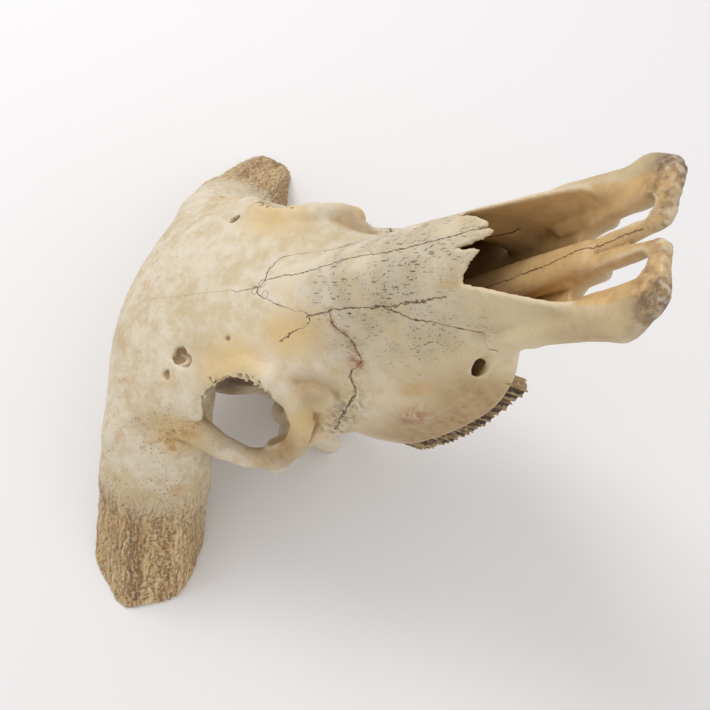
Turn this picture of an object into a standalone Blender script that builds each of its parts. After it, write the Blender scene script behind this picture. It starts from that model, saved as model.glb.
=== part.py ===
"""A water buffalo skull without its lower jaw, resting on its sawn horn cores and the back of its head.

The skull is described in its own frame, in millimetres: X runs from the back of the head to the nose,
Y to the animal's left and Z up from the plane that the cheek teeth bite on. One matrix then tips it nose up,
the way it lies, and brings its lowest point to the ground.
"""

import math

import bmesh
import bpy
from mathutils import Matrix, Vector

MM = 0.001

# How the skull lies: this direction of its own frame points straight up, and the saw cut of both horn cores is
# on the ground, this far from the skull's own origin. The middle of its outline is the part's origin.
UP = Vector((0.871, 0.1215, 0.476)).normalized()
SAW_HEIGHT = 38.0
MIDDLE = Vector((12.3, 15.9))

# The grid that the bone is carved from, and what the bone may cost in triangles.
VOXEL = 2.5
GRID_LOW = Vector((-110.0, -300.0, -2.0))
GRID_HIGH = Vector((504.0, 300.0, 246.0))
BONE_SHARE = 0.0292
WALL = 9.0

# The two sides are not quite alike: forehead and horn core sit lower on the left, and the left core is thinner
# and further back, by these shares of its reach.
TILT = 0.05
CORE_TILT = 0.02
CORE_SHIFT = 0.05
CORE_THINNING = 0.012

# The horn core is a rounded prism. Each flat face: its outward direction, its distance from the axis, and how
# much of the core's reach to the left is added to that distance.
CORE_START = Vector((40.0, 132.0, 158.0))
CORE_AXIS = Vector((-0.675, 0.659, -0.333))
CORE_FACES = (((0.691, 0.722, 0.027), 33.0, 0.0), ((0.191, 0.583, 0.79), 38.0, 0.02),
              ((0.515, 0.1, -0.85), 33.0, -0.03))

# Profiles along the skull: (x, value) pairs, read as smooth curves.
DORSAL_LINE = ((0, 150), (15, 189), (38, 218), (78, 236), (118, 229), (160, 206.5), (190, 187), (215, 167),
               (255, 148), (300, 136), (346, 124), (413, 101), (450, 88))
DORSAL_DROP = ((0, 24), (60, 24), (120, 30), (165, 36), (190, 34), (215, 44), (235, 110), (252, 165),
               (346, 190), (450, 190))
FRONTAL_WIDTH = ((0, 62), (25, 92), (60, 108), (110, 104), (140, 96), (165, 80), (200, 68), (218, 66),
                 (250, 44), (300, 30))
FACE_WIDTH_HIGH = ((120, 36), (160, 42), (200, 54), (225, 60), (250, 48), (300, 37), (346, 32), (400, 31),
                   (440, 34))
FACE_WIDTH_LOW = ((150, 52), (180, 66), (205, 76), (240, 79), (274, 77), (300, 72), (320, 65), (334, 54),
                  (347, 41), (360, 39), (378, 42), (400, 43), (440, 45))
FACE_FLOOR = ((150, 50), (185, 34), (210, 21.8), (332, 21.8), (350, 28), (370, 30), (400, 29), (440, 27))

# Cheek teeth from front to back: name, middle x, outer y, length, width, turn in degrees, ribs on the outside.
TEETH = (("premolar_2", 328, 56.5, 15, 13, -20, 2), ("premolar_3", 310, 63.0, 18, 16, -18, 2),
         ("premolar_4", 291, 69.5, 18, 18, -15, 2), ("molar_1", 269, 73.5, 22.8, 20, -7, 3),
         ("molar_2", 243.5, 76.0, 26, 21, -2, 3), ("molar_3", 214, 76.0, 28, 20, 4, 3))
BITE = 1.0
GUM = 20.0
ROOT_TOP = 40.0
ROOT_INSET = 4.0
GAP = 0.3
RIB = 2.6


def clear_scene():
    for obj in list(bpy.data.objects):
        bpy.data.objects.remove(obj)


class Field:
    """A number that varies over space, as a socket in the node tree that carves the bone."""

    tree = None

    def __init__(self, socket):
        self.socket = socket

    def __add__(self, other):
        return math_node("ADD", self, other)

    __radd__ = __add__

    def __sub__(self, other):
        return math_node("SUBTRACT", self, other)

    def __rsub__(self, other):
        return math_node("SUBTRACT", other, self)

    def __mul__(self, other):
        return math_node("MULTIPLY", self, other)

    __rmul__ = __mul__

    def __truediv__(self, other):
        return math_node("DIVIDE", self, other)

    def __neg__(self):
        return math_node("MULTIPLY", self, -1.0)


def connect(socket, value):
    if isinstance(value, Field):
        Field.tree.links.new(value.socket, socket)
    elif isinstance(value, bpy.types.NodeSocket):
        Field.tree.links.new(value, socket)
    else:
        socket.default_value = value


def math_node(operation, *values, clamp=False):
    node = Field.tree.nodes.new("ShaderNodeMath")
    node.operation = operation
    node.use_clamp = clamp
    for socket, value in zip(node.inputs, values):
        connect(socket, value)
    return Field(node.outputs[0])


def vector_node(operation, *values, scale=None):
    node = Field.tree.nodes.new("ShaderNodeVectorMath")
    node.operation = operation
    for socket, value in zip(node.inputs, values):
        connect(socket, value)
    if scale is not None:
        connect(node.inputs["Scale"], scale)
    return node


def split(vector):
    node = Field.tree.nodes.new("ShaderNodeSeparateXYZ")
    connect(node.inputs[0], vector)
    return [Field(socket) for socket in node.outputs]


def combine(*values):
    node = Field.tree.nodes.new("ShaderNodeCombineXYZ")
    for socket, value in zip(node.inputs, values):
        connect(socket, value)
    return node.outputs[0]


def dot(a, b):
    return Field(vector_node("DOT_PRODUCT", a, b).outputs["Value"])


def low(a, b):
    return math_node("MINIMUM", a, b)


def high(a, b):
    return math_node("MAXIMUM", a, b)


def blend(a, b, reach):
    """The union of two forms, with a fillet where they meet."""
    return math_node("SMOOTH_MIN", a, b, reach)


def meet(a, b, reach):
    """What two forms share, with its edge rounded."""
    return math_node("SMOOTH_MAX", a, b, reach)


def carve(a, b, reach):
    """The first form with the second taken out of it."""
    return math_node("SMOOTH_MAX", a, -b, reach)


def profile(along, points):
    """A smooth curve through (position, value) pairs, read at a varying position."""
    node = Field.tree.nodes.new("ShaderNodeFloatCurve")
    start, end = points[0][0], points[-1][0]
    least = min(v for _, v in points)
    span = max(v for _, v in points) - least
    curve = node.mapping.curves[0]
    for _ in points[2:]:
        curve.points.new(0.5, 0.5)
    for point, (x, v) in zip(curve.points, points):
        point.location = ((x - start) / (end - start), (v - least) / span)
    node.mapping.update()
    connect(node.inputs["Value"], math_node("DIVIDE", along - start, end - start, clamp=True))
    return Field(node.outputs[0]) * span + least


def ball(at, centre, radii, turn=(0.0, 0.0, 0.0)):
    """An ellipsoid. Turn is its Euler rotation in degrees."""
    offset = vector_node("SUBTRACT", at, centre).outputs[0]
    if any(turn):
        node = Field.tree.nodes.new("ShaderNodeVectorRotate")
        node.rotation_type = "EULER_XYZ"
        node.invert = True
        connect(node.inputs["Vector"], offset)
        node.inputs["Rotation"].default_value = [math.radians(a) for a in turn]
        offset = node.outputs[0]
    unit = vector_node("DIVIDE", offset, radii).outputs[0]
    reach = Field(vector_node("LENGTH", unit).outputs["Value"])
    slope = Field(vector_node("LENGTH", vector_node("DIVIDE", unit, radii).outputs[0]).outputs["Value"])
    return reach * (reach - 1.0) / (slope + 1e-6)


def rod(at, start, end, radius_start, radius_end, flat=None):
    """A round bar between two points whose radius changes evenly. Flat is (direction, factor): it thins the
    bar along that direction."""
    start, end = Vector(start), Vector(end)
    along = end - start
    offset = vector_node("SUBTRACT", at, start).outputs[0]
    share = math_node("MULTIPLY", dot(offset, along), 1.0 / along.length_squared, clamp=True)
    rest = vector_node("SUBTRACT", offset, vector_node("SCALE", along, scale=share).outputs[0]).outputs[0]
    if flat:
        direction = Vector(flat[0]).normalized()
        depth = dot(rest, direction)
        push = vector_node("SCALE", direction, scale=depth * (1.0 / flat[1] - 1.0)).outputs[0]
        rest = vector_node("ADD", rest, push).outputs[0]
    gap = Field(vector_node("LENGTH", rest).outputs["Value"])
    return gap - (share * (radius_end - radius_start) + radius_start)


def chain(at, stations, flat=None):
    """Bars through a list of (point, radius), joined end to end."""
    form = None
    for (p0, r0), (p1, r1) in zip(stations, stations[1:]):
        piece = rod(at, p0, p1, r0, r1, flat)
        form = low(form, piece) if form else piece
    return form


def bone_field(at, x, y, side, z):
    """How far each point lies outside the bone, in millimetres, with both halves of the skull folded on one."""
    # Dorsal surface of forehead and nose
    dorsal = profile(x, DORSAL_LINE) - profile(x, DORSAL_DROP) * side * side * 0.0001
    slant = math_node("DIVIDE", 215.0 - x, 60.0, clamp=True) * y * TILT
    above = (z + slant - dorsal) * 0.93

    # Forehead plate
    frontal = meet(above, -above - 26.0, 14.0)
    frontal = meet(frontal, side - profile(x, FRONTAL_WIDTH), 18.0)
    frontal = meet(frontal, 30.0 - x, 20.0)
    frontal = meet(frontal, x - 232.0, 14.0)

    # Braincase and back of the head
    skull = blend(frontal, ball(at, (96, 0, 134), (76, 38, 58)), 16.0)
    skull = blend(skull, ball(at, (46, 0, 136), (24, 40, 52)), 14.0)
    skull = blend(skull, rod(at, (46, 20, 60), (50, 20, 112), 9, 10), 10.0)
    skull = blend(skull, rod(at, (36, 0, 58), (150, 0, 56), 19, 14), 16.0)

    # Face: a tapering box whose side leans in towards the nose bones
    lean = math_node("DIVIDE", z - 52.0, 62.0, clamp=True)
    lean = lean * lean * (3.0 - 2.0 * lean)
    wall = profile(x, FACE_WIDTH_LOW)
    wall = wall + (profile(x, FACE_WIDTH_HIGH) - wall) * lean
    outline = meet((side - wall) * 0.9, above, 16.0)
    face = meet(outline, profile(x, FACE_FLOOR) - z, 7.0)
    face = meet(face, 160.0 - x, 20.0)
    face = meet(face, x - 440.0, 10.0)
    skull = blend(skull, face, 14.0)

    # Cheek bone below the eye socket, its ridge and knob, and the rear end of the upper jaw
    cheek = chain(at, (((170, 90, 96), 12), ((205, 75, 84), 18), ((240, 68, 68), 17), ((272, 65, 52), 13)),
                  flat=((0.35, 0.94, 0.1), 0.5))
    skull = blend(skull, cheek, 12.0)
    skull = blend(skull, ball(at, (272, 67, 51), (22, 13, 12)), 12.0)
    skull = blend(skull, ball(at, (204, 60, 50), (25, 16, 26)), 12.0)

    # Eye socket: its rim, and the cavity behind it
    rim = chain(at, (((124, 94, 166), 13), ((126, 99, 142), 10), ((136, 101, 122), 9), ((154, 100, 110), 9),
                     ((180, 94, 101), 9), ((203, 84, 106), 9), ((218, 76, 122), 9), ((217, 67, 142), 10),
                     ((203, 62, 157), 10), ((176, 68, 170), 11), ((148, 84, 172), 12)))
    skull = blend(skull, rim, 10.0)
    skull = blend(skull, rod(at, (168, 95, 104), (152, 103, 93), 11, 5), 12.0)
    skull = blend(skull, ball(at, (214, 68, 108), (18, 10, 20)), 10.0)
    skull = carve(skull, rod(at, (230, 116, 172), (172, 82, 140), 30, 30), 6.0)
    skull = carve(skull, ball(at, (168, 78, 130), (38, 28, 31)), 8.0)

    # Cheek arch
    arch = chain(at, (((158, 100, 102), 10), ((128, 102, 92), 8), ((98, 96, 79), 8), ((78, 76, 68), 10),
                      ((72, 50, 63), 13)))
    skull = blend(skull, arch, 12.0)

    # Horn cores
    tilted = combine(x + y * CORE_SHIFT, side, z + y * CORE_TILT)
    core = chain(tilted, (((90, 68, 180), 36), ((68, 100, 174), 42), (CORE_START, 45), ((-34, 203, 122), 46),
                          ((-100, 264, 90), 46)), flat=((0.75, 0.66, 0.0), 0.84))
    beside = vector_node("SUBTRACT", tilted, CORE_START).outputs[0]
    behind = high(-dot(beside, CORE_AXIS) + 16.0, 0.0)
    for direction, reach, gain in CORE_FACES:
        core = meet(core, dot(beside, direction) - (y * gain + reach) - behind * 0.35, 12.0)
    skull = blend(skull, core + y * CORE_THINNING, 22.0)

    # Back of the head: condyles, the processes beside them, ear bones
    skull = blend(skull, ball(at, (39.5, 23, 57), (19, 14, 19)), 8.0)
    skull = blend(skull, chain(at, (((58, 40, 72), 11), ((54, 49, 45), 10), ((49.5, 51, 18), 9))), 12.0)
    skull = blend(skull, ball(at, (84, 44, 60), (18, 13, 20)), 10.0)
    skull = carve(skull, rod(at, (0, 0, 76), (76, 0, 84), 16, 17), 6.0)

    # Wings beside the rear opening of the nose
    wing = rod(at, (200, 27, 44), (140, 24, 54), 18, 12, flat=((0, 1, 0), 0.42))
    skull = blend(skull, wing, 10.0)
    skull = carve(skull, rod(at, (215, 0, 54), (124, 0, 34), 18, 17), 8.0)

    # Nose cavity: roofed by the nose bones behind, open in front of their broken edge
    cavity = meet(outline + WALL, 39.0 - z, 8.0)
    cavity = meet(cavity, 226.0 - x, 14.0)
    skull = carve(skull, cavity, 3.0)
    open_front = meet((side - wall) * 0.9 + WALL, 39.0 - z, 8.0)
    open_front = meet(open_front, 412.0 - side * 0.7 - x, 2.0)
    skull = carve(skull, open_front, 2.0)

    # Side walls of the nose slope down to the front
    rail = (97.0 - (x - 388.0) * 0.78 - z) * 0.78
    slope = meet(rail, 386.0 + (24.0 - side) * 1.4 - x, 6.0)
    skull = carve(skull, slope, 4.0)

    # Bones of the snout: side bars, front ends, and the pair along the middle
    side_bar = chain(at, (((400, 37, 42), 9), ((440, 37, 37), 13), ((462, 38, 35), 15.5)),
                     flat=((0, 0, 1), 0.6))
    front_bar = chain(at, (((462, 38, 35), 15.5), ((476, 32, 35), 14), ((480, 14, 35), 11)),
                      flat=((0, 0, 1), 0.55))
    middle_bar = chain(at, (((477, 12, 34), 8), ((440, 5, 37), 6.5), ((380, 4, 40), 6)))
    skull = blend(skull, side_bar, 8.0)
    skull = blend(skull, front_bar, 6.0)
    skull = blend(skull, middle_bar, 4.0)
    skull = carve(skull, ball(at, (500, 0, 34), (20, 3.5, 30)), 3.0)
    plan = combine(x, side, 0.0)
    skull = carve(skull, rod(plan, (425, 17.5, 0), (470, 17.5, 0), 8.5, 8.5), 3.0)

    # Ploughshare bone along the middle of the nose floor
    vomer = rod(at, (420, 3, 42), (250, 4, 46), 5, 15, flat=((0, 1, 0), 0.4))
    skull = blend(skull, vomer, 4.0)

    # Arched palate
    skull = carve(skull, ball(at, (268, 0, 6), (116, 45, 21)), 10.0)

    # Holes for nerves and vessels
    skull = carve(skull, rod(at, (356, 54, 44), (322, 50, 54), 8, 6), 6.0)
    skull = carve(skull, rod(at, (174, 62, 214), (158, 58, 176), 6, 5), 3.0)
    return skull


def make_material(name, colour, roughness):
    material = bpy.data.materials.new(name)
    material.use_nodes = True
    shader = material.node_tree.nodes["Principled BSDF"]
    shader.inputs["Base Color"].default_value = (*colour, 1.0)
    shader.inputs["Roughness"].default_value = roughness
    shader.inputs["Metallic"].default_value = 0.0
    return material


def build_bone():
    """The whole bone, carved as a volume and skinned."""
    tree = bpy.data.node_groups.new("carve_bone", "GeometryNodeTree")
    tree.interface.new_socket("Geometry", in_out="OUTPUT", socket_type="NodeSocketGeometry")
    Field.tree = tree
    place = tree.nodes.new("GeometryNodeInputPosition").outputs[0]
    place = vector_node("SCALE", place, scale=1.0 / MM).outputs[0]
    x, y, z = split(place)
    side = math_node("ABSOLUTE", y)
    at = combine(x, side, z)
    depth = -bone_field(at, x, y, side, z)
    volume = tree.nodes.new("GeometryNodeVolumeCube")
    connect(volume.inputs["Density"], depth)
    volume.inputs["Background"].default_value = -1.0
    volume.inputs["Min"].default_value = GRID_LOW * MM
    volume.inputs["Max"].default_value = GRID_HIGH * MM
    for socket, count in zip(volume.inputs[4:7], GRID_HIGH - GRID_LOW):
        socket.default_value = round(count / VOXEL)
    skin = tree.nodes.new("GeometryNodeVolumeToMesh")
    tree.links.new(volume.outputs[0], skin.inputs["Volume"])
    skin.inputs["Threshold"].default_value = 0.0
    output = tree.nodes.new("NodeGroupOutput")
    tree.links.new(skin.outputs[0], output.inputs[0])

    holder = bpy.data.objects.new("cranium", bpy.data.meshes.new("cranium"))
    holder.modifiers.new("Carve", "NODES").node_group = tree
    return holder


def add_modifiers(holder, cutters):
    thin = holder.modifiers.new("Thin", "DECIMATE")
    thin.ratio = BONE_SHARE
    for cutter in cutters:
        cut = holder.modifiers.new("Cut", "BOOLEAN")
        cut.operation = "DIFFERENCE"
        cut.solver = "EXACT"
        cut.object = cutter


def box(name, centre, size, turn=0.0, round_off=0.0):
    """A box with rounded upright edges, in the skull's frame."""
    bpy.ops.mesh.primitive_cube_add(size=1.0)
    obj = bpy.context.active_object
    obj.name = obj.data.name = name
    obj.data.transform(Matrix.Diagonal((*(Vector(size) * MM), 1.0)))
    if round_off:
        sculpt = bmesh.new()
        sculpt.from_mesh(obj.data)
        half = size[2] * MM * 0.5
        upright = [e for e in sculpt.edges if abs(e.verts[0].co.z - e.verts[1].co.z) > half]
        bmesh.ops.bevel(sculpt, geom=upright, offset=round_off * MM, segments=2, affect="EDGES", profile=0.5)
        sculpt.to_mesh(obj.data)
        sculpt.free()
    place = Matrix.Translation(Vector(centre) * MM) @ Matrix.Rotation(math.radians(turn), 4, "Z")
    obj.data.transform(place)
    return obj


def pose():
    """The skull's own frame, tipped the way it lies and set down on the ground."""
    up = UP
    ahead = (Vector((0.0, 0.0, -1.0)) + up * up.z).normalized()
    left = up.cross(ahead)
    turn = Matrix((ahead, left, up)).to_4x4()
    return Matrix.Translation(Vector((-MIDDLE.x, -MIDDLE.y, -SAW_HEIGHT)) * MM) @ turn


def build_tooth(label, side, x, outer, length, width, turn, ribs):
    """A cheek tooth: a crown with upright ribs on its outer face, and a plain root for the socket."""
    middle = outer - width / 2
    crown = box(label, (x, side * middle, (BITE + GUM) / 2), (length, width, GUM - BITE), side * turn, 3.0)
    root_size = (length - ROOT_INSET, width - ROOT_INSET, ROOT_TOP - GUM + ROOT_INSET)
    root_centre = (x, side * middle, (ROOT_TOP + GUM - ROOT_INSET) / 2)
    root = box(label + "_root", root_centre, root_size, side * turn, 2.0)
    frame = Matrix.Rotation(math.radians(side * turn), 4, "Z")
    frame = Matrix.Translation(Vector((x, side * middle, 0.0)) * MM) @ frame
    pieces = [root]
    for i in range(ribs):
        bpy.ops.mesh.primitive_cylinder_add(vertices=8, radius=RIB * MM, depth=(GUM - BITE - 1.0) * MM)
        rib = bpy.context.active_object
        along = (i / (ribs - 1) - 0.5) * (length - 2 * RIB)
        spot = Vector((along, side * (width / 2 - 1.0), (GUM + BITE) / 2))
        spot = Matrix.Translation(spot * MM)
        rib.data.transform(frame @ spot)
        pieces.append(rib)
    for piece in pieces:
        join = crown.modifiers.new("Join", "BOOLEAN")
        join.operation = "UNION"
        join.solver = "EXACT"
        join.object = piece
    socket_size = Vector(root_size) + Vector((2 * GAP, 2 * GAP, 2 * GAP))
    socket = box(label + "_socket", root_centre, socket_size, side * turn, 2.0)
    return crown, pieces, socket


def file_away(obj, collection):
    for other in list(obj.users_collection):
        other.objects.unlink(obj)
    collection.objects.link(obj)


def drop_crumbs(mesh):
    """Keep only the largest connected body of a mesh."""
    sculpt = bmesh.new()
    sculpt.from_mesh(mesh)
    bodies = []
    seen = set()
    for start in sculpt.verts:
        if start in seen:
            continue
        body = {start}
        front = [start]
        while front:
            vert = front.pop()
            for edge in vert.link_edges:
                other = edge.other_vert(vert)
                if other not in body:
                    body.add(other)
                    front.append(other)
        seen |= body
        bodies.append(body)
    largest = max(bodies, key=len)
    crumbs = [v for v in sculpt.verts if v not in largest]
    bmesh.ops.delete(sculpt, geom=crumbs, context="VERTS")
    sculpt.to_mesh(mesh)
    sculpt.free()


def main():
    clear_scene()
    parts = bpy.data.collections.new("buffalo_skull")
    cutters = bpy.data.collections.new("cutters")
    for collection in (parts, cutters):
        bpy.context.scene.collection.children.link(collection)
    cutters.hide_render = True
    bone = make_material("bone", (0.78, 0.70, 0.53), 0.65)
    enamel = make_material("tooth", (0.62, 0.53, 0.38), 0.42)

    bodies = []
    tools = []
    for side, word in ((1, "left"), (-1, "right")):
        for name, x, outer, length, width, turn, ribs in TEETH:
            tooth, helpers, socket = build_tooth(f"{name}_{word}", side, x, outer, length, width, turn, ribs)
            bodies.append((tooth, helpers, enamel))
            tools.append(socket)

    bpy.ops.mesh.primitive_cube_add(size=1.0)
    ground = bpy.context.active_object
    ground.name = "saw"
    slab = Matrix.Translation((0.0, 0.0, -0.15)) @ Matrix.Diagonal((1, 1, 0.3, 1))
    ground.data.transform(pose().inverted() @ slab)
    tools.append(ground)
    cranium = build_bone()
    bpy.context.scene.collection.objects.link(cranium)
    add_modifiers(cranium, tools)
    bodies.insert(0, (cranium, [], bone))

    bpy.context.view_layer.update()
    graph = bpy.context.evaluated_depsgraph_get()
    for obj, helpers, material in bodies:
        mesh = bpy.data.meshes.new_from_object(obj.evaluated_get(graph))
        obj.modifiers.clear()
        obj.data = mesh
        drop_crumbs(mesh)
        mesh.transform(pose())
        mesh.materials.clear()
        mesh.materials.append(material)
        mesh.shade_smooth()
        mesh.set_sharp_from_angle(angle=math.radians(40.0))
        file_away(obj, parts)
        tools.extend(helpers)
    for tool in tools:
        tool.display_type = "WIRE"
        tool.hide_render = True
        tool.data.transform(pose())
        file_away(tool, cutters)
    total = sum(len(obj.data.polygons) for obj, _, _ in bodies)
    print(len(cranium.data.polygons), "faces in the bone,", total, "in all")


if __name__ == "__main__":
    main()
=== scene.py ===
# %% [markdown]
# # A water buffalo skull, laid down on its sawn horn cores
# The real thing is one bleached skull without its lower jaw: bone all through, with twelve cheek teeth
# standing in the upper jaw. We could start from nothing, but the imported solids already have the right
# size and place. So we load them as the frame and dress them: one finely carved bone stands for the plain
# one, and twelve worn teeth stand for the plain teeth.

import math

import bmesh
import bpy
from mathutils import Matrix, Vector


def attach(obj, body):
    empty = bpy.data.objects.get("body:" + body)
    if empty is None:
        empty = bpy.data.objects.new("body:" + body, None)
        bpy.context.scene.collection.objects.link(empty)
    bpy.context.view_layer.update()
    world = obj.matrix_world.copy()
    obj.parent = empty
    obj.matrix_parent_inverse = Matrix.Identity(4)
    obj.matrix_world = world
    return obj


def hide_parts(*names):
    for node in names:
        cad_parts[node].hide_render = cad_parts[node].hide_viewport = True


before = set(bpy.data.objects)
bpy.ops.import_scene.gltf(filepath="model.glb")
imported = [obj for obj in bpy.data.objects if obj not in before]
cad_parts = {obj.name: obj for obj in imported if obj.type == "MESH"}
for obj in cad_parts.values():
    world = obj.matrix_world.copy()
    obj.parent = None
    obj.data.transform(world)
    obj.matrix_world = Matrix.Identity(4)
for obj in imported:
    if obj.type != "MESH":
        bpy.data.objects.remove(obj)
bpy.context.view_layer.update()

# %% [markdown]
# ## Maths that reads like maths
# Both the bone's shape and its colours are sums, products and distances, worked out in node trees. Adding
# such nodes one by one is slow to read. A small class that wraps a socket lets us write `1 - mask * 0.5`
# instead, and every sum that we write adds its node to the tree that is being built.

# %% A socket that can be added to and multiplied
class Sock:
    tree = None

    def __init__(self, socket):
        self.socket = socket

    def __add__(self, other):
        return maths("ADD", self, other)

    def __sub__(self, other):
        return maths("SUBTRACT", self, other)

    def __rsub__(self, other):
        return maths("SUBTRACT", other, self)

    def __mul__(self, other):
        return maths("MULTIPLY", self, other)

    def __truediv__(self, other):
        return maths("DIVIDE", self, other)

    def __rtruediv__(self, other):
        return maths("DIVIDE", other, self)

    def __pow__(self, other):
        return maths("POWER", self, other)

    def __neg__(self):
        return maths("MULTIPLY", self, -1.0)

    def __abs__(self):
        return maths("ABSOLUTE", self)

    __radd__ = __add__
    __rmul__ = __mul__


# %% One way to add any node: its type, its settings, then its sockets
def plug(socket, value):
    if isinstance(value, Sock):
        Sock.tree.links.new(value.socket, socket)
    else:
        socket.default_value = value


def node(kind, settings=None, sockets=None, out=0):
    made = Sock.tree.nodes.new(kind)
    for name, value in (settings or {}).items():
        setattr(made, name, value)
    for key, value in (sockets or {}).items():
        plug(made.inputs[key], value)
    return Sock(made.outputs[out])


def maths(operation, *values, clamp=False):
    return node("ShaderNodeMath", {"operation": operation, "use_clamp": clamp}, dict(enumerate(values)))


def arrow(operation, *values, out=0, **named):
    return node("ShaderNodeVectorMath", {"operation": operation}, {**dict(enumerate(values)), **named}, out)


# %% Words for the maths that we need most
def split(vector):
    made = Sock.tree.nodes.new("ShaderNodeSeparateXYZ")
    plug(made.inputs[0], vector)
    return [Sock(socket) for socket in made.outputs]


def combine(*values):
    return node("ShaderNodeCombineXYZ", None, dict(enumerate(values)))


def dot(a, b):
    return arrow("DOT_PRODUCT", a, b, out="Value")


def length(vector):
    return arrow("LENGTH", vector, out="Value")


def low(a, b):
    return maths("MINIMUM", a, b)


def high(a, b):
    return maths("MAXIMUM", a, b)


def rise(value, start, end):
    """0 before start, 1 after end, with a soft turn at both. It falls where start is the larger."""
    sockets = {"Value": value, "From Min": start, "From Max": end}
    return node("ShaderNodeMapRange", {"interpolation_type": "SMOOTHSTEP"}, sockets)


def noise(at, size, detail=2.0, rough=0.5, warp=0.0):
    """Cloudy numbers about 0, between -1 and 1, whose lumps are about as large as size."""
    sockets = {"Vector": at, "Scale": 1.0 / size, "Detail": detail, "Roughness": rough, "Distortion": warp}
    return node("ShaderNodeTexNoise", None, sockets) * 2.0 - 1.0


def wiggle(at, size, reach):
    """Space shaken a little, so that a straight line on it comes out crooked."""
    shake = node("ShaderNodeTexNoise", None, {"Vector": at, "Scale": 1.0 / size, "Detail": 1.0}, out="Color")
    return arrow("ADD", at, arrow("SCALE", arrow("SUBTRACT", shake, (0.5, 0.5, 0.5)), Scale=reach * 2.0))


def squeeze(at, direction, factor):
    """Space pressed along a direction, so that a pattern on it is drawn out that way."""
    direction = tuple(Vector(direction).normalized())
    return arrow("SUBTRACT", at, arrow("SCALE", direction, Scale=dot(at, direction) * (1.0 - 1.0 / factor)))


# %% [markdown]
# ## Shapes as distances
# A skull has no flat face and no straight edge. It could be a cage with subdivision, but a cage has to be
# stitched round every hole, and a skull is full of them. So we describe it the way a sculptor in clay
# would: balls, bars and curved walls that melt into each other, and hollows that are pressed in. Each
# form is a number for every point of space, below zero inside. A smooth minimum joins two forms with a
# fillet, and a smooth maximum carves one out.

# %% Join, meet, carve
def blend(a, b, reach):
    return maths("SMOOTH_MIN", a, b, reach)


def meet(a, b, reach):
    return maths("SMOOTH_MAX", a, b, reach)


def carve(a, b, reach):
    return maths("SMOOTH_MAX", a, -b, reach)


def profile(along, points):
    """A smooth curve through (position, value) pairs, read at a varying position."""
    start, end = points[0][0], points[-1][0]
    least = min(v for _, v in points)
    span = max(v for _, v in points) - least
    made = Sock.tree.nodes.new("ShaderNodeFloatCurve")
    curve = made.mapping.curves[0]
    for _ in points[2:]:
        curve.points.new(0.5, 0.5)
    for point, (x, v) in zip(curve.points, points):
        point.location = ((x - start) / (end - start), (v - least) / span)
    made.mapping.update()
    plug(made.inputs["Value"], maths("DIVIDE", along - start, end - start, clamp=True))
    return Sock(made.outputs[0]) * span + least


# %% Balls, bars and chains of bars
def ball(at, centre, radii):
    unit = arrow("DIVIDE", arrow("SUBTRACT", at, centre), radii)
    reach = length(unit)
    return reach * (reach - 1.0) / (length(arrow("DIVIDE", unit, radii)) + 1e-6)


def rod(at, start, end, radius_start, radius_end, flat=None):
    start, end = Vector(start), Vector(end)
    along = end - start
    offset = arrow("SUBTRACT", at, start)
    share = maths("MULTIPLY", dot(offset, along), 1.0 / along.length_squared, clamp=True)
    rest = arrow("SUBTRACT", offset, arrow("SCALE", along, Scale=share))
    if flat:
        direction = Vector(flat[0]).normalized()
        push = arrow("SCALE", direction, Scale=dot(rest, direction) * (1.0 / flat[1] - 1.0))
        rest = arrow("ADD", rest, push)
    return length(rest) - (share * (radius_end - radius_start) + radius_start)


def chain(at, stations, flat=None):
    form = None
    for (p0, r0), (p1, r1) in zip(stations, stations[1:]):
        piece = rod(at, p0, p1, r0, r1, flat)
        form = low(form, piece) if form else piece
    return form


# %% [markdown]
# ## The skull's own frame
# Measures are easiest to take on a skull that stands level: X runs from the back of the head to the nose,
# Y to the animal's left and Z up from the biting plane, in millimetres. The pieces could be turned one by
# one at the end. But one matrix that tips them back on the horn cores does it for all of them, and the
# same matrix turned round lets a colour find its place on the bone.

# %% How the skull lies
MM = 0.001
UP = Vector((0.871, 0.1215, 0.476)).normalized()
AHEAD = (Vector((0.0, 0.0, -1.0)) + UP * UP.z).normalized()
TURN = Matrix((AHEAD, UP.cross(AHEAD), UP))
SHIFT = Vector((12.3, 15.9, 38.0))
POSE = Matrix.Translation(-SHIFT * MM) @ TURN.to_4x4()


def skull_place():
    """Where a point of the lying skull is in the skull's own frame, in millimetres, for a material."""
    place = node("ShaderNodeTexCoord", out="Object")
    back = TURN.transposed()
    sockets = {"Vector": place, "Scale": (1.0 / MM,) * 3, "Location": back @ SHIFT,
               "Rotation": back.to_euler("XYZ")}
    return node("ShaderNodeMapping", None, sockets)


print("tipped back by", round(math.degrees(UP.angle((0.0, 0.0, 1.0)))), "degrees")

# %% [markdown]
# ## Forehead and braincase
# A buffalo's forehead is one broad plate, domed from side to side and falling away to the nose. Behind
# and below it sit the braincase and the nape wall. A loft through ribs could make the plate, but curves
# read as heights are easier to correct: one is the height of its middle line, one how fast it drops to
# the sides, and one its width.

# %% The plate, the braincase and the bars under it
DORSAL_LINE = ((0, 150), (15, 189), (38, 218), (78, 236), (118, 229), (160, 206.5), (190, 187),
               (215, 167), (255, 148), (300, 136), (346, 124), (413, 101), (450, 88))
DORSAL_DROP = ((0, 24), (60, 24), (120, 30), (165, 36), (190, 34), (215, 44), (235, 110), (252, 165),
               (346, 190), (450, 190))
FRONTAL_WIDTH = ((0, 62), (25, 92), (60, 108), (110, 104), (140, 96), (165, 80), (200, 68), (218, 66),
                 (250, 44), (300, 30))


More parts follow.
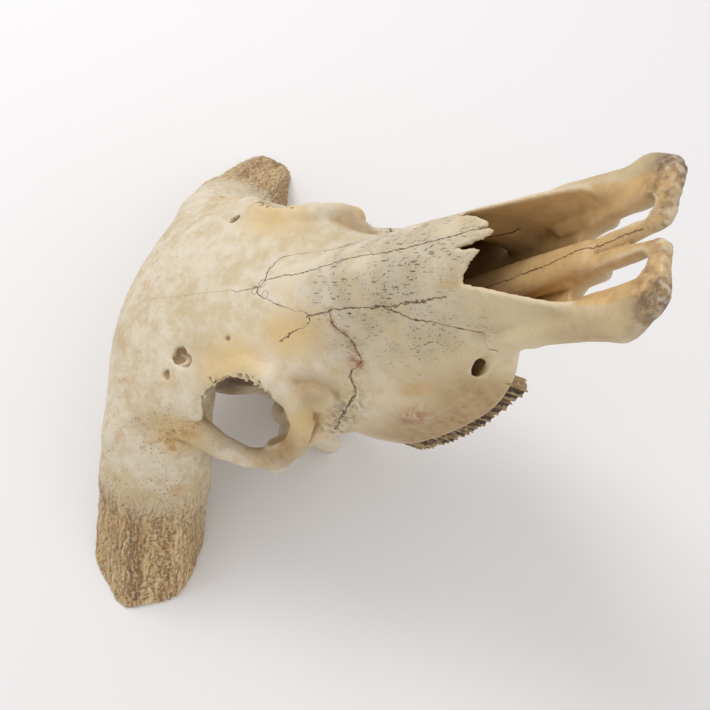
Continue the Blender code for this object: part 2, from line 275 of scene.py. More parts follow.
def height_above(x, y, side, z):
    """How far a point lies above forehead and nose bones. The forehead leans a little to the left."""
    dorsal = profile(x, DORSAL_LINE) - profile(x, DORSAL_DROP) * side * side * 0.0001
    slant = maths("DIVIDE", 215.0 - x, 60.0, clamp=True) * y * 0.05
    return (z + slant - dorsal) * 0.93


def forehead(x, side, above):
    plate = meet(above, -above - 26.0, 14.0)
    plate = meet(plate, side - profile(x, FRONTAL_WIDTH), 18.0)
    plate = meet(plate, 30.0 - x, 20.0)
    return meet(plate, x - 232.0, 14.0)


def braincase(at, skull):
    skull = blend(skull, ball(at, (96, 0, 134), (76, 38, 58)), 16.0)
    skull = blend(skull, ball(at, (46, 0, 136), (24, 40, 52)), 14.0)
    skull = blend(skull, rod(at, (46, 20, 60), (50, 20, 112), 9, 10), 10.0)
    return blend(skull, rod(at, (36, 0, 58), (150, 0, 56), 19, 14), 16.0)


print("top of the forehead above the bite, mm:", max(height for _, height in DORSAL_LINE))

# %% [markdown]
# ## Face and cheek
# From the front of the forehead a long tapering box runs to the nose. Its sides lean in towards the nose
# bones, stand widest over the cheek teeth and pinch in front of them. A slanting bar with a knob on it is
# the cheek bone. A box with many loop cuts could give this. Two width curves, with the wall leaning from
# the lower one to the upper one, hold it in a few numbers.

# %% The face box, its cheek bone and the tooth-bearing lump behind
FACE_WIDTH_HIGH = ((120, 36), (160, 42), (200, 54), (225, 60), (250, 48), (300, 37), (346, 32),
                   (400, 31), (440, 34))
FACE_WIDTH_LOW = ((150, 52), (180, 66), (205, 76), (240, 79), (274, 77), (300, 72), (320, 65),
                  (334, 54), (347, 41), (360, 39), (378, 42), (400, 43), (440, 45))
FACE_FLOOR = ((150, 50), (185, 34), (210, 22), (270, 20), (332, 17), (352, 28), (370, 30), (400, 29),
              (440, 27))


def side_wall(x, side, z):
    lean = rise(z, 52.0, 114.0)
    wide = profile(x, FACE_WIDTH_LOW)
    return (side - (wide + (profile(x, FACE_WIDTH_HIGH) - wide) * lean)) * 0.9


def face(x, z, outline):
    form = meet(outline, profile(x, FACE_FLOOR) - z, 7.0)
    form = meet(form, 160.0 - x, 20.0)
    return meet(form, x - 440.0, 10.0)


def cheek(at, skull):
    bar = chain(at, (((170, 90, 96), 12), ((205, 75, 84), 18), ((240, 68, 68), 17), ((272, 65, 52), 13)),
                flat=((0.35, 0.94, 0.1), 0.5))
    skull = blend(skull, bar, 12.0)
    skull = blend(skull, ball(at, (272, 66, 52), (24, 13, 12)), 14.0)
    skull = blend(skull, rod(at, (288, 70, 49), (320, 60, 41), 7, 4), 12.0)
    return blend(skull, ball(at, (204, 60, 50), (25, 16, 26)), 12.0)


print("face over the cheek teeth, mm wide:", 2 * max(width for _, width in FACE_WIDTH_LOW))

# %% [markdown]
# ## Eye sockets
# The rim of the socket is a ring of thick bone. At the top its edge is broken into small teeth, where
# thin bone has crumbled, and that is what makes it look real. A Boolean with a ball would leave a clean
# edge all round. So the hollow is pressed in with a wall that noise jitters up there, and that stays
# smooth along the lower rim.

# %% Rim, hollow and cheek arch
def eye_socket(at, skull, z, jitter):
    rim = chain(at, (((124, 94, 166), 13), ((123, 102, 140), 10), ((130, 106, 117), 8), ((150, 106, 103), 8),
                     ((180, 98, 97), 8.5), ((203, 86, 105), 9), ((218, 76, 122), 9), ((217, 67, 142), 10),
                     ((203, 62, 157), 10), ((176, 68, 170), 11), ((148, 84, 172), 12)))
    skull = blend(skull, rim, 10.0)
    skull = blend(skull, rod(at, (168, 95, 104), (152, 103, 93), 11, 5), 12.0)
    skull = blend(skull, ball(at, (214, 68, 108), (18, 10, 20)), 10.0)
    ragged = jitter * rise(z, 132.0, 143.0)
    skull = carve(skull, rod(at, (230, 116, 172), (171, 83, 139), 30, 31) + ragged * 13.0, 1.5)
    skull = carve(skull, ball(at, (168, 78, 130), (38, 28, 31)) + ragged * 6.0, 3.0)
    skull = carve(skull, ball(at, (150, 70, 148), (32, 25, 31)), 4.0)
    arch = chain(at, (((158, 100, 102), 10), ((128, 102, 92), 8), ((98, 96, 79), 8), ((78, 76, 68), 10),
                      ((72, 50, 63), 13)))
    return blend(skull, arch, 12.0)


# %% [markdown]
# ## Horn cores and the back of the head
# The cores are two thick bone pegs, a little flat, that sweep back and down. Turned cones would be too
# round, so a chain of bars is planed by three flat faces. The cores aren't quite alike, so the left one
# is lowered and thinned by a share of its reach. Behind them sit the joint knobs for the neck, the hole
# for the spinal cord between them, and a pointed process on each side.

# %% Cores, knobs, processes and the hole
CORE_START = Vector((40, 132, 158))
CORE_AXIS = (-0.675, 0.659, -0.333)
CORE_LINE = (((90, 68, 180), 36), ((68, 100, 174), 42), (CORE_START, 45), ((-34, 203, 122), 46),
             ((-100, 264, 90), 46))
CORE_FACES = (((0.691, 0.722, 0.027), 33.0, 0.0), ((0.191, 0.583, 0.79), 38.0, 0.02),
              ((0.515, 0.1, -0.85), 33.0, -0.03))


def horn_core(skull, x, y, side, z):
    tilted = combine(x + y * 0.05, side, z + y * 0.02)
    core = chain(tilted, CORE_LINE, flat=((0.75, 0.66, 0.0), 0.84))
    beside = arrow("SUBTRACT", tilted, CORE_START)
    behind = high(16.0 - dot(beside, CORE_AXIS), 0.0)
    for direction, reach, gain in CORE_FACES:
        core = meet(core, dot(beside, direction) - (y * gain + reach) - behind * 0.35, 12.0)
    return blend(skull, core + y * 0.012, 22.0)


def nape(at, skull):
    skull = blend(skull, ball(at, (39.5, 23, 57), (19, 14, 19)), 6.0)
    skull = blend(skull, chain(at, (((58, 40, 72), 11), ((54, 49, 45), 10), ((49.5, 51, 18), 9))), 12.0)
    skull = blend(skull, ball(at, (84, 44, 60), (18, 13, 20)), 8.0)
    return carve(skull, rod(at, (0, 0, 76), (76, 0, 84), 16, 17), 5.0)


# %% [markdown]
# ## Nose
# The nose is a tube with thin walls. Behind, the paired nose bones roof it, and in front of them it is
# open like a boat. The nose bones of this skull are broken: their front edge is a row of splinters. These
# could be cut one by one, but each notch was measured, so the edge is one more profile, read across the
# nose, with fine noise on top.

# %% The tube, the open front and the broken edge
WALL = 7.5
NASAL_EDGE = ((-34, 362), (-29, 371), (-27.5, 384), (-21.5, 391), (-16, 397), (-12.5, 407),
              (-9.6, 404), (-7.2, 391), (-5, 403), (-2, 412), (1.2, 414), (2.2, 405), (4, 409),
              (7, 409), (12, 402), (17, 391), (21.5, 379), (24, 381), (27.5, 399), (31, 409),
              (34, 411))


def nose(skull, x, y, side, z, wall, above, jitter):
    roof = 9.0 - rise(x, 290.0, 370.0) * 5.2
    tube = meet(high(wall + WALL, above + roof), 39.0 - z, 8.0)
    tube = meet(tube, 226.0 - x, 14.0)
    skull = carve(skull, tube, 2.0)
    sky = meet(wall + WALL, 39.0 - z, 8.0)
    sky = meet(sky, (profile(y, NASAL_EDGE) + jitter * 2.2 - x) * 0.8, 0.6)
    skull = carve(skull, sky, 0.8)
    rail = (97.0 - (x - 388.0) * 0.78 - z) * 0.78
    return carve(skull, meet(rail, 386.0 + (24.0 - side) * 1.4 - x, 6.0), 4.0)


print("points on the broken edge:", len(NASAL_EDGE))

# %% [markdown]
# ## Snout and palate
# In front the upper jaw ends in two flat plates that turn in towards each other, with a long gap beside
# the thin pair of bones on the middle line. Their ends are crusty and scorched. Inside, the ploughshare
# bone runs along the middle of the nose floor, and below, the palate is a shallow arch. All of these are
# long and rounded. Curves with a bevel would leave joints to clean, so flattened bars melt together
# instead.

# %% Bars, gaps, palate and the holes for nerves
def snout(at, skull, x, side, crust):
    bar = chain(at, (((400, 37, 42), 9), ((440, 38, 37), 14), ((464, 41, 34), 17)), flat=((0, 0, 1), 0.55))
    skull = blend(skull, bar, 8.0)
    skull = blend(skull, chain(at, (((372, 45, 56), 7), ((412, 44, 50), 9), ((446, 41, 41), 10))), 12.0)
    skull = blend(skull, rod(at, (428, 31, 38), (472, 33, 35), 9, 12, flat=((0, 0, 1), 0.5)), 6.0)
    bar = chain(at, (((464, 41, 34), 17), ((479, 36, 34), 15), ((482, 14, 35), 11)), flat=((0, 0, 1), 0.55))
    skull = blend(skull, bar, 6.0)
    bar = chain(at, (((477, 12, 36), 9), ((440, 6, 39), 8.5), ((380, 4, 44), 8)), flat=((0, 0, 1), 0.6))
    skull = blend(skull, bar, 4.0)
    skull = carve(skull, ball(at, (500, 0, 34), (20, 3.5, 30)), 3.0)
    skull = carve(skull, rod(combine(x, side, 0.0), (420, 17.0, 0), (473, 18.0, 0), 6.0, 8.0), 3.0)
    return skull + crust * rise(x, 470.0, 490.0) * 2.5


def palate(at, skull):
    wing = rod(at, (200, 27, 44), (140, 24, 54), 18, 12, flat=((0, 1, 0), 0.42))
    skull = blend(skull, wing, 10.0)
    skull = carve(skull, rod(at, (215, 0, 54), (124, 0, 34), 18, 17), 8.0)
    skull = blend(skull, rod(at, (430, 2, 44), (300, 5, 60), 9, 10, flat=((0.12, 0, 1), 0.6)), 3.0)
    skull = blend(skull, rod(at, (420, 3, 42), (250, 4, 50), 5, 15, flat=((0, 1, 0), 0.4)), 4.0)
    return carve(skull, ball(at, (268, 0, 6), (116, 45, 21)), 10.0)


def nerve_holes(place, at, skull, jitter):
    skull = carve(skull, rod(at, (352, 47, 42), (304, 53, 50), 6.5, 3.5), 2.5)
    skull = carve(skull, rod(place, (174, 66, 214), (156, 64, 174), 5, 4.5), 1.5)
    pit = low(ball(place, (160, -56, 197), (8, 7, 7)), ball(place, (165, -60, 193), (6, 6, 6)))
    pit = low(pit, low(ball(place, (149, -71, 201), (4, 5, 4)), ball(place, (199, -44, 177), (2.5, 2.5, 3))))
    return carve(skull, pit + jitter * 2.6, 1.5)


# %% [markdown]
# ## The saw cut
# Both horn cores end in one flat saw cut, and the skull now lies on it. A Boolean with a big box would
# cut it with a sharp edge. In a field it is the simplest form of all: everything below one plane goes,
# with its edge worn a little round.

# %% One plane for both cores
def saw_cut(skull, x, y, z):
    ground = SHIFT.z + 0.3 - dot(combine(x, y, z), UP)
    return meet(skull, ground, 0.8)


# %% [markdown]
# ## Carve the bone
# Metaballs melt too, but they can't be carved or broken. A Volume Cube node asks for the form's number at
# every point of a fine grid instead, and Volume to Mesh skins it. The skull is almost the same on both
# sides, so the field is read with both halves folded on one, and only the broken nose, the cores and the
# noise know left from right.

# %% The node tree that carves
GRID_LOW = Vector((-112.0, -290.0, -1.0))
GRID_HIGH = Vector((502.0, 290.0, 244.0))
VOXEL = 1.5


def bone_form(place):
    x, y, z = split(place)
    side = abs(y)
    at = combine(x, side, z)
    jitter = noise(place, 3.8, 2.0)
    above = height_above(x, y, side, z)
    wall = side_wall(x, side, z)
    outline = meet(wall, above, 16.0)
    skull = braincase(at, forehead(x, side, above))
    skull = blend(skull, face(x, z, outline), 14.0)
    skull = eye_socket(at, cheek(at, skull), z, jitter)
    skull = nape(at, horn_core(skull, x, y, side, z))
    skull = nose(skull, x, y, side, z, wall, above, jitter)
    skull = palate(at, snout(at, skull, x, side, jitter))
    return saw_cut(nerve_holes(place, at, skull, jitter), x, y, z)


def new_tree(name, inputs):
    tree = bpy.data.node_groups.new(name, "GeometryNodeTree")
    for label, kind, value in inputs:
        tree.interface.new_socket(label, in_out="INPUT", socket_type=kind).default_value = value
    tree.interface.new_socket("Geometry", in_out="OUTPUT", socket_type="NodeSocketGeometry")
    Sock.tree = tree
    return tree


def close_tree(geometry, material):
    real = node("GeometryNodeRealizeInstances", None, {"Geometry": geometry})
    done = node("GeometryNodeSetMaterial", None, {"Geometry": real, "Material": material})
    Sock.tree.links.new(done.socket, Sock.tree.nodes.new("NodeGroupOutput").inputs[0])


def bake(name, tree, values):
    """Run a tree on an empty mesh with named inputs set, and keep the plain mesh that comes out."""
    holder = bpy.data.objects.new(name, bpy.data.meshes.new(name + "_seed"))
    bpy.context.scene.collection.objects.link(holder)
    modifier = holder.modifiers.new("Build", "NODES")
    modifier.node_group = tree
    for item in tree.interface.items_tree:
        if item.in_out == "INPUT" and item.name in values:
            modifier[item.identifier] = values[item.name]
    graph = bpy.context.evaluated_depsgraph_get()
    mesh = bpy.data.meshes.new_from_object(holder.evaluated_get(graph))
    holder.modifiers.remove(modifier)
    holder.data = mesh
    mesh.name = name
    return holder


# %% [markdown]
# ## Relief
# Bleached bone is never smooth. The forehead swells and sinks by a millimetre, and the horn cores are
# furrowed along their length where blood vessels ran. A Displace modifier has one texture for the whole
# piece. The node tree can push the fine skin in and out along its own normals with a different noise for
# each region.

# %% How far the skin is pushed out, in millimetres
def on_core(place):
    """1 on the horn cores, 0 on the forehead, with a ragged border; and the space furrows are drawn in."""
    x, y, z = split(place)
    folded = combine(x, abs(y), z)
    along = dot(arrow("SUBTRACT", folded, CORE_START), CORE_AXIS) + noise(place, 18.0, 1.0) * 10.0
    mask = rise(along, -38.0, 12.0) * rise(abs(y), 84.0, 110.0)
    return mask, squeeze(wiggle(folded, 22.0, 5.0), CORE_AXIS, 9.0)


def furrows(drawn):
    """Above zero in thin lines that run along the core."""
    return high(0.34 - abs(noise(drawn, 2.8, 2.0, 0.55)) * 2.2, 0.0)


def relief(place):
    mask, drawn = on_core(place)
    swell = noise(place, 34.0, 2.0) * 0.9 + noise(place, 11.0, 2.0) * 0.28
    ridges = noise(drawn, 6.5, 1.0) * 1.5 - furrows(drawn) * 3.6 + noise(place, 5.0, 2.0) + 0.3
    return swell + mask * ridges


def hollow_at(steps):
    """How deep a point lies below its smoothed surroundings, in mm: above zero in a pit, below on an edge."""
    spot = node("GeometryNodeInputPosition")
    mean = node("GeometryNodeBlurAttribute", {"data_type": "FLOAT_VECTOR"}, {"Iterations": steps})
    blur = mean.socket.node
    Sock.tree.links.new(spot.socket, [i for i in blur.inputs if i.enabled and i.type == "VECTOR"][0])
    mean = Sock([o for o in blur.outputs if o.enabled][0])
    return dot(arrow("SUBTRACT", mean, spot), node("GeometryNodeInputNormal")) * (1.0 / MM)


def keep(geometry, name, value):
    """Store a number or vector on every point, for the material to read."""
    made = Sock.tree.nodes.new("GeometryNodeStoreNamedAttribute")
    made.data_type = "FLOAT_VECTOR"
    made.domain = "POINT"
    plug(made.inputs["Geometry"], geometry)
    plug(made.inputs["Name"], name)
    Sock.tree.links.new(value.socket, [i for i in made.inputs if i.enabled and i.name == "Value"][0])
    return Sock(made.outputs[0])


def skin_of(cube):
    """The mesh that wraps a volume whose settings are given."""
    volume = node("GeometryNodeVolumeCube", None, cube)
    return node("GeometryNodeVolumeToMesh", None, {"Volume": volume, "Threshold": 0.0})


# %% The tree that carves the bone, and the bone it makes
bone = bpy.data.materials.new("bone")
tree = new_tree("carve_bone", [("Voxel", "NodeSocketFloat", VOXEL), ("Relief", "NodeSocketFloat", 1.0)])
entry = tree.nodes.new("NodeGroupInput")
voxel = Sock(entry.outputs["Voxel"])
place = arrow("SCALE", node("GeometryNodeInputPosition"), Scale=1.0 / MM)
cube = {"Density": -bone_form(place), "Background": -1.0, "Min": GRID_LOW * MM, "Max": GRID_HIGH * MM}
for axis, reach in zip("XYZ", GRID_HIGH - GRID_LOW):
    cube["Resolution " + axis] = reach / voxel
skin = skin_of(cube)
push = relief(place) * Sock(entry.outputs["Relief"]) * MM
shift = arrow("SCALE", node("GeometryNodeInputNormal"), Scale=push)
skin = node("GeometryNodeSetPosition", None, {"Geometry": skin, "Offset": shift})
# The skin's depth below its smoothed surroundings is kept, so that the materials can paint shade into hollows
# and pale edges from it.
skin = keep(skin, "hollow", combine(hollow_at(5), hollow_at(28), 0.0))
close_tree(skin, bone)
skull = bake("skull_bone", tree, {"Voxel": VOXEL, "Relief": 1.0})
print("carved faces:", len(skull.data.polygons))

# %% [markdown]
# ## Fewer faces, one body
# The fine skin has more faces than it needs on the smooth parts, and crumbs that the noise cut loose
# float beside it. A coarser grid would lose the splinters. Decimate takes faces only where the surface is
# calm, and a walk along the edges finds the largest body, so the crumbs can go.

# %% Thin the mesh, drop crumbs, lay the skull down
MOST_FACES = 194000


def largest_body(mesh):
    sculpt = bmesh.new()
    sculpt.from_mesh(mesh)
    left = set(sculpt.verts)
    best = set()
    while left:
        front = [left.pop()]
        body = set(front)
        while front:
            for edge in front.pop().link_edges:
                for vert in edge.verts:
                    if vert in left:
                        left.remove(vert)
                        body.add(vert)
                        front.append(vert)
        best = max(best, body, key=len)
    bmesh.ops.delete(sculpt, geom=[v for v in sculpt.verts if v not in best], context="VERTS")
    sculpt.to_mesh(mesh)
    sculpt.free()


def apply(obj, kind, **settings):
    modifier = obj.modifiers.new("Finish", kind)
    for name, value in settings.items():
        setattr(modifier, name, value)
    mesh = bpy.data.meshes.new_from_object(obj.evaluated_get(bpy.context.evaluated_depsgraph_get()))
    obj.modifiers.remove(modifier)
    obj.data = mesh


def lay_down(obj):
    obj.data.transform(POSE)
    obj.data.shade_smooth()


largest_body(skull.data)
apply(skull, "DECIMATE", ratio=MOST_FACES / (2.0 * len(skull.data.polygons)))
lay_down(skull)
print("bone:", len(skull.data.polygons), "triangles")
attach(skull, "root")
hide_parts("cranium")

# %% [markdown]
# ## Cheek teeth
# A grazer's cheek tooth is a tall prism with upright pillars on its outer side and a worn grinding face:
# hard enamel stands proud as sharp crescents round softer hollows. A box with loop cuts would be too
# clean. Each tooth is a small form of its own, carved on a finer grid than the bone, and one tree makes
# all twelve from named inputs.

# %% Where the teeth stand: name, x, outer y, length, width, turn in degrees, pillars
TEETH = (("premolar_2", 328, 56.5, 15, 13, -20, 3), ("premolar_3", 310, 63.0, 18, 16, -18, 3),
         ("premolar_4", 291, 69.5, 18, 18, -15, 4), ("molar_1", 269, 73.5, 22.8, 20, -7, 5),
         ("molar_2", 243.5, 76.0, 26, 21, -2, 5), ("molar_3", 214, 76.0, 28, 20, 4, 6))
BITE = 6.0
CROWN_TOP = 27.0
TOOTH_VOXEL = 0.6


# %% One tooth as a form: u along the row, v outwards, w up into the jaw
def cosine(value):
    return maths("COSINE", value)


def tooth_form(u, v, w, long, wide, pillars, seed):
    lean = u + (w - 12.0) * 0.09
    sway = noise(combine(u, 0.0, w * 0.3 + seed), 7.0, 1.0)
    turn = (lean / long + 0.5) * (pillars - 1.0) * math.tau + sway * 1.6
    pillar = cosine(turn)
    outer = wide / 2.0 - 2.4 + high(pillar, 0.0) ** 2.0 * 2.4
    inner = wide / 2.0 - 0.4 - high(pillar - 0.35, 0.0) * 2.6
    rough = noise(combine(u, v, w + seed), 2.2, 2.0)
    sides = high(v - outer, -v - inner)
    crown = meet(meet(abs(lean) - long / 2.0 + 0.25, sides, 1.6), w - CROWN_TOP, 1.0)
    step = long / (pillars - 1.0)
    along_lobe = maths("PINGPONG", lean + long / 2.0, step / 2.0) - step / 2.0
    lobe = length(combine(along_lobe / (step * 0.30), v / (wide * 0.26), 0.0))
    ridge = rise(abs(lobe - 1.0), 0.34, 0.1)
    rim = rise(-sides, 2.2, 0.9)
    worn = BITE + 1.8 - high(ridge, rim) * 1.5 + (v / wide + 0.5) * -0.9 + rough * 0.35
    return meet(crown, (worn - w) * 0.8, 0.5) + rough * 0.12, pillar, ridge


# %% The tree that carves a tooth from named inputs
tooth = bpy.data.materials.new("tooth")
tree = new_tree("carve_tooth", [("Long", "NodeSocketFloat", 20.0), ("Wide", "NodeSocketFloat", 18.0),
                                ("Pillars", "NodeSocketFloat", 3.0), ("Seed", "NodeSocketFloat", 0.0)])
entry = tree.nodes.new("NodeGroupInput")
long, wide, pillars, seed = [Sock(entry.outputs[name]) for name in ("Long", "Wide", "Pillars", "Seed")]
u, v, w = split(arrow("SCALE", node("GeometryNodeInputPosition"), Scale=1.0 / MM))
form, pillar, ridge = tooth_form(u, v, w, long, wide, pillars, seed)
corner = combine(long / 2.0 + 3.0, wide / 2.0 + 2.0, CROWN_TOP + 2.0)
cube = {"Density": -form, "Background": -1.0, "Max": arrow("SCALE", corner, Scale=MM),
        "Min": arrow("SCALE", arrow("MULTIPLY", corner, (-1.0, -1.0, 0.0)), Scale=MM)}
for axis, reach in zip("XYZ", split(corner)):
    cube["Resolution " + axis] = reach * (1.0 if axis == "Z" else 2.0) / TOOTH_VOXEL
skin = skin_of(cube)
skin = keep(skin, "crown", combine(pillar, w, ridge))
# The depth below smoothed surroundings is kept for the material, which paints shade into the tooth's hollows
# from it.
skin = keep(skin, "hollow", combine(hollow_at(4), hollow_at(16), 0.0))
close_tree(skin, tooth)

# %% Carve all twelve, and stand each in its place on the left or right
for side, word in ((1, "left"), (-1, "right")):
    for k, (name, x, outer, tooth_long, tooth_wide, turn, count) in enumerate(TEETH):
        values = {"Long": float(tooth_long), "Wide": float(tooth_wide), "Pillars": float(count),
                  "Seed": 40.0 * k + 300.0 * side}
        piece = bake(f"{name}_{word}_worn", tree, values)
        stand = Matrix.Translation(Vector((x, outer - tooth_wide / 2, 0)) * MM)
        spin = Matrix.Rotation(math.radians(turn), 4, "Z")
        piece.data.transform(Matrix.Diagonal((1, side, 1, 1)) @ stand @ spin)
        if side < 0:
            piece.data.flip_normals()
        largest_body(piece.data)
        lay_down(piece)
        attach(piece, "root")
        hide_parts(f"{name}_{word}")
print("one tooth:", len(piece.data.polygons), "faces")

# %% [markdown]
# ## Bone, as a finish
# Old bone is ivory, not white. It is paler where it was rubbed, yellow where grease stayed, tan on the
# horn cores and inside the nose, with brown grains in its pores. The thin dark lines are seams between
# its plates. They could be painted by hand on an image, but a material can measure how far each point is
# from a line, so it draws them where they run, at any size.

# %% Lines that are measured on the bone, in its own frame
MIDLINE = ((119, -11), (148, -11), (176, -10), (206, -7), (219, -2))
BETWEEN_NOSE_BONES = ((219, -2), (230, 3), (256, 5), (298, 5), (348, 0), (412, 2))
BEHIND_NOSE_BONES = ((-42, 230), (-33, 240), (-26, 252), (-21, 239), (-15, 227), (-7, 216), (-2, 219),
                     (16, 223), (24, 236), (27, 250))
BESIDE_NOSE_BONE = ((250, 26.5), (268, 25), (288, 26), (336, 29), (371, 29))
TEAR_SEAM = ((26, 273), (32, 270), (39, 274), (44, 269), (48, 267), (53, 250), (67, 241), (77, 227),
             (84, 207))
SNOUT_SEAM = ((321, 113), (342, 90), (357, 69), (376, 58))
FLOOR_SEAM = ((250, 1), (330, -2), (393, -1), (443, 3), (474, 4))


def off_line(along, across, points, slope=1.0):
    """Distance to a measured line: its place across for each place along. Slope makes up for its slant."""
    gap = abs(across - profile(along, points)) * slope
    return high(gap, high(points[0][0] - along, along - points[-1][0]))


def seam(distance, width):
    return rise(distance, width, width * 0.35)


# %% Colours and how to mix them
def tone(*srgb):
    """A colour as seen on a screen, 0 to 255, turned to the linear numbers that a shader wants."""
    return tuple(round(((c / 255 + 0.055) / 1.055) ** 2.4, 4) for c in srgb) + (1.0,)


def mix(share, a, b):
    made = Sock.tree.nodes.new("ShaderNodeMix")
    made.data_type = "RGBA"
    plug(made.inputs[0], share)
    plug(made.inputs[6], a)
    plug(made.inputs[7], b)
    return Sock(made.outputs[2])


def near_spot(at, centre, radii):
    """1 at the middle of a patch, falling to 0 at its edge."""
    return rise(length(arrow("DIVIDE", arrow("SUBTRACT", at, centre), radii)), 1.0, 0.2)


def specks(at, size, share):
    """Grains of dirt in pores: round cells of which only some are filled, each to its own depth."""
    cells = node("ShaderNodeTexVoronoi", None, {"Vector": at, "Scale": 1.0 / size})
    tint = node("ShaderNodeSeparateColor", None, {"Color": Sock(cells.socket.node.outputs["Color"])})
    return rise(cells, 0.42, 0.16) * rise(tint, 1.0 - share, 1.4 - share)


def attribute(name):
    return split(node("ShaderNodeAttribute", {"attribute_name": name}, out="Vector"))


def open_material(material):
    material.use_nodes = True
    Sock.tree = material.node_tree
    return material.node_tree.nodes["Principled BSDF"]


# %% The bone's colours
RUBBED, DULL = tone(219, 207, 186), tone(200, 180, 144)
CHEEK_TAN, SNOUT_TAN, SUNKEN_SHADE = tone(212, 190, 144), tone(160, 132, 90), tone(186, 150, 96)
GREASE, STAIN, JAW_BROWN = tone(210, 176, 108), tone(184, 142, 84), tone(156, 120, 72)
CORE_PALE, CORE_TAN = tone(218, 186, 132), tone(178, 136, 84)
CORE_HEART, FURROW = tone(134, 92, 50), tone(104, 68, 36)
NOSE_PALE, NOSE_TAN = tone(212, 172, 110), tone(186, 146, 92)
STREAK, DASH, PORE = tone(164, 150, 124), tone(78, 72, 64), tone(132, 90, 46)
RUST, SOOT, SEAM = tone(150, 88, 38), tone(98, 88, 76), tone(84, 54, 28)
CHAR, SCORCH = tone(70, 48, 30), tone(134, 94, 56)
CAVE_SHADE_DARK, CAVE_SHADE_TAN = tone(62, 38, 20), tone(128, 88, 50)
PIT_SHADE, EDGE, GRAIN = tone(120, 84, 48), tone(240, 230, 208), tone(158, 124, 80)
print("darkest and palest red value:", CAVE_SHADE_DARK[0], EDGE[0])

# %% Paint the bone
shader = open_material(bone)
place = skull_place()
x, y, z = split(place)
side = abs(y)
folded = combine(x, side, z)
core, drawn = on_core(place)
small, large, _ = attribute("hollow")
cloud = noise(place, 42.0, 3.0, 0.6)
mottle = noise(place, 9.0, 4.0, 0.65)
fine = noise(place, 1.6, 3.0, 0.6)

colour = mix(rise(cloud + mottle * 0.8, -0.5, 0.45), DULL, RUBBED)
tinted = rise(x, 200.0, 300.0) * rise(z, 136.0, 60.0) + rise(x, 370.0, 430.0) * 0.4
colour = mix(tinted * (0.5 + mottle * 0.3), colour, CHEEK_TAN)
colour = mix(rise(x, 396.0, 440.0) * (0.45 + mottle * 0.4), colour, SNOUT_TAN)
yellow = near_spot(place, (238, -36, 142), (52, 30, 34))
yellow = high(yellow, near_spot(folded, (190, 62, 164), (60, 38, 34)))
yellow = high(yellow, near_spot(folded, (118, 98, 172), (44, 28, 36)))
yellow = high(yellow, near_spot(folded, (200, 88, 108), (60, 26, 40)))
yellow = high(yellow * (0.75 + mottle * 0.6), rise(cloud, 0.15, 0.6) * 0.45)
colour = mix(yellow * 0.9, colour, GREASE)
dirty = rise(x, 190.0, 110.0) * 0.6 + near_spot(folded, (112, 106, 180), (44, 26, 40))
blotch = rise(noise(place, 20.0, 5.0, 0.75), 0.0, 0.35) * dirty
colour = mix(blotch * 0.8, colour, STAIN)
low_face = rise(z, 78.0, 36.0) * rise(side, 44.0, 62.0) * rise(x, 190.0, 230.0) * rise(x, 380.0, 340.0)
low_face = high(low_face, near_spot(folded, (170, 104, 104), (60, 18, 26)))
low_face = high(low_face, near_spot(folded, (226, 68, 116), (22, 18, 22)) * 0.8)
colour = mix(low_face * (0.75 + mottle * 0.6), colour, JAW_BROWN)
# Painted shade: broad hollows, found from how deep the skin lies below its smoothed surroundings, are
# darkened to a brownish tan.
colour = mix(rise(large, 0.1, 1.6) * 0.5, colour, SUNKEN_SHADE)
grooves = furrows(drawn) * 3.0
horn = mix(rise(noise(drawn, 12.0, 3.0, 0.65), -0.4, 0.45), CORE_PALE, CORE_TAN)
middle = rise(noise(drawn, 20.0, 2.0), -0.15, 0.35) * rise(side, 130.0, 170.0)
horn = mix(middle * 0.65, horn, CORE_HEART)
colour = mix(core * rise(side + cloud * 40.0, 104.0, 182.0) * 0.9, colour, horn)
colour = mix(core * grooves * (0.45 + mottle * 0.6), colour, FURROW)

# %% [markdown]
# ## Dirt, stains and seams
# Dirt sits where it was never rubbed off: in pores, in furrows, along seams, in the hollow of the nose.
# One noise over the whole skull would look like sprayed spots. So each kind is a mask from 0 to 1 of its
# own that mixes a darker colour in, and the deep ones lower the surface a little as well.

# %% Dirt in pores and short streaks
inside = rise(side_wall(x, side, z), -4.5, -6.5) * rise(x, 226.0, 250.0)
inside = inside * rise(z, 108.0, 96.0) * rise(z, 30.0, 40.0)
colour = mix(inside * 0.75, colour, mix(rise(mottle, -0.4, 0.5), NOSE_PALE, NOSE_TAN))
pored = rise(x, 170.0, 90.0) * rise(noise(place, 22.0, 2.0), -0.1, 0.35)
pored = high(pored, near_spot(folded, (118, 98, 176), (50, 34, 44)))
flecks = rise(noise(place, 3.4, 4.0, 0.8), 0.2, 0.4)
pores = high(specks(place, 2.4, 0.5), flecks) * (pored * 0.9 + 0.12 + core * 0.4)
flow = squeeze(place, (0.94, -0.2, -0.26), 6.0)
nose_top = rise(x, 232.0, 290.0) * rise(z, 92.0, 108.0)
streaked = high(nose_top, near_spot(folded, (330, 42, 84), (90, 30, 44)) * 0.8)
streaked = streaked * rise(noise(place, 18.0, 2.0), -0.3, 0.25)
streaked = high(streaked, near_spot(place, (345, -14, 122), (56, 22, 26)))
across_flow = squeeze(place, (0.8, 0.5, -0.3), 4.5)
dashes = high(specks(flow, 1.8, 0.6), specks(across_flow, 1.5, 0.5)) * streaked
colour = mix(streaked * 0.45, colour, STREAK)
colour = mix(pores * 0.8, colour, PORE)
colour = mix(dashes, colour, DASH)

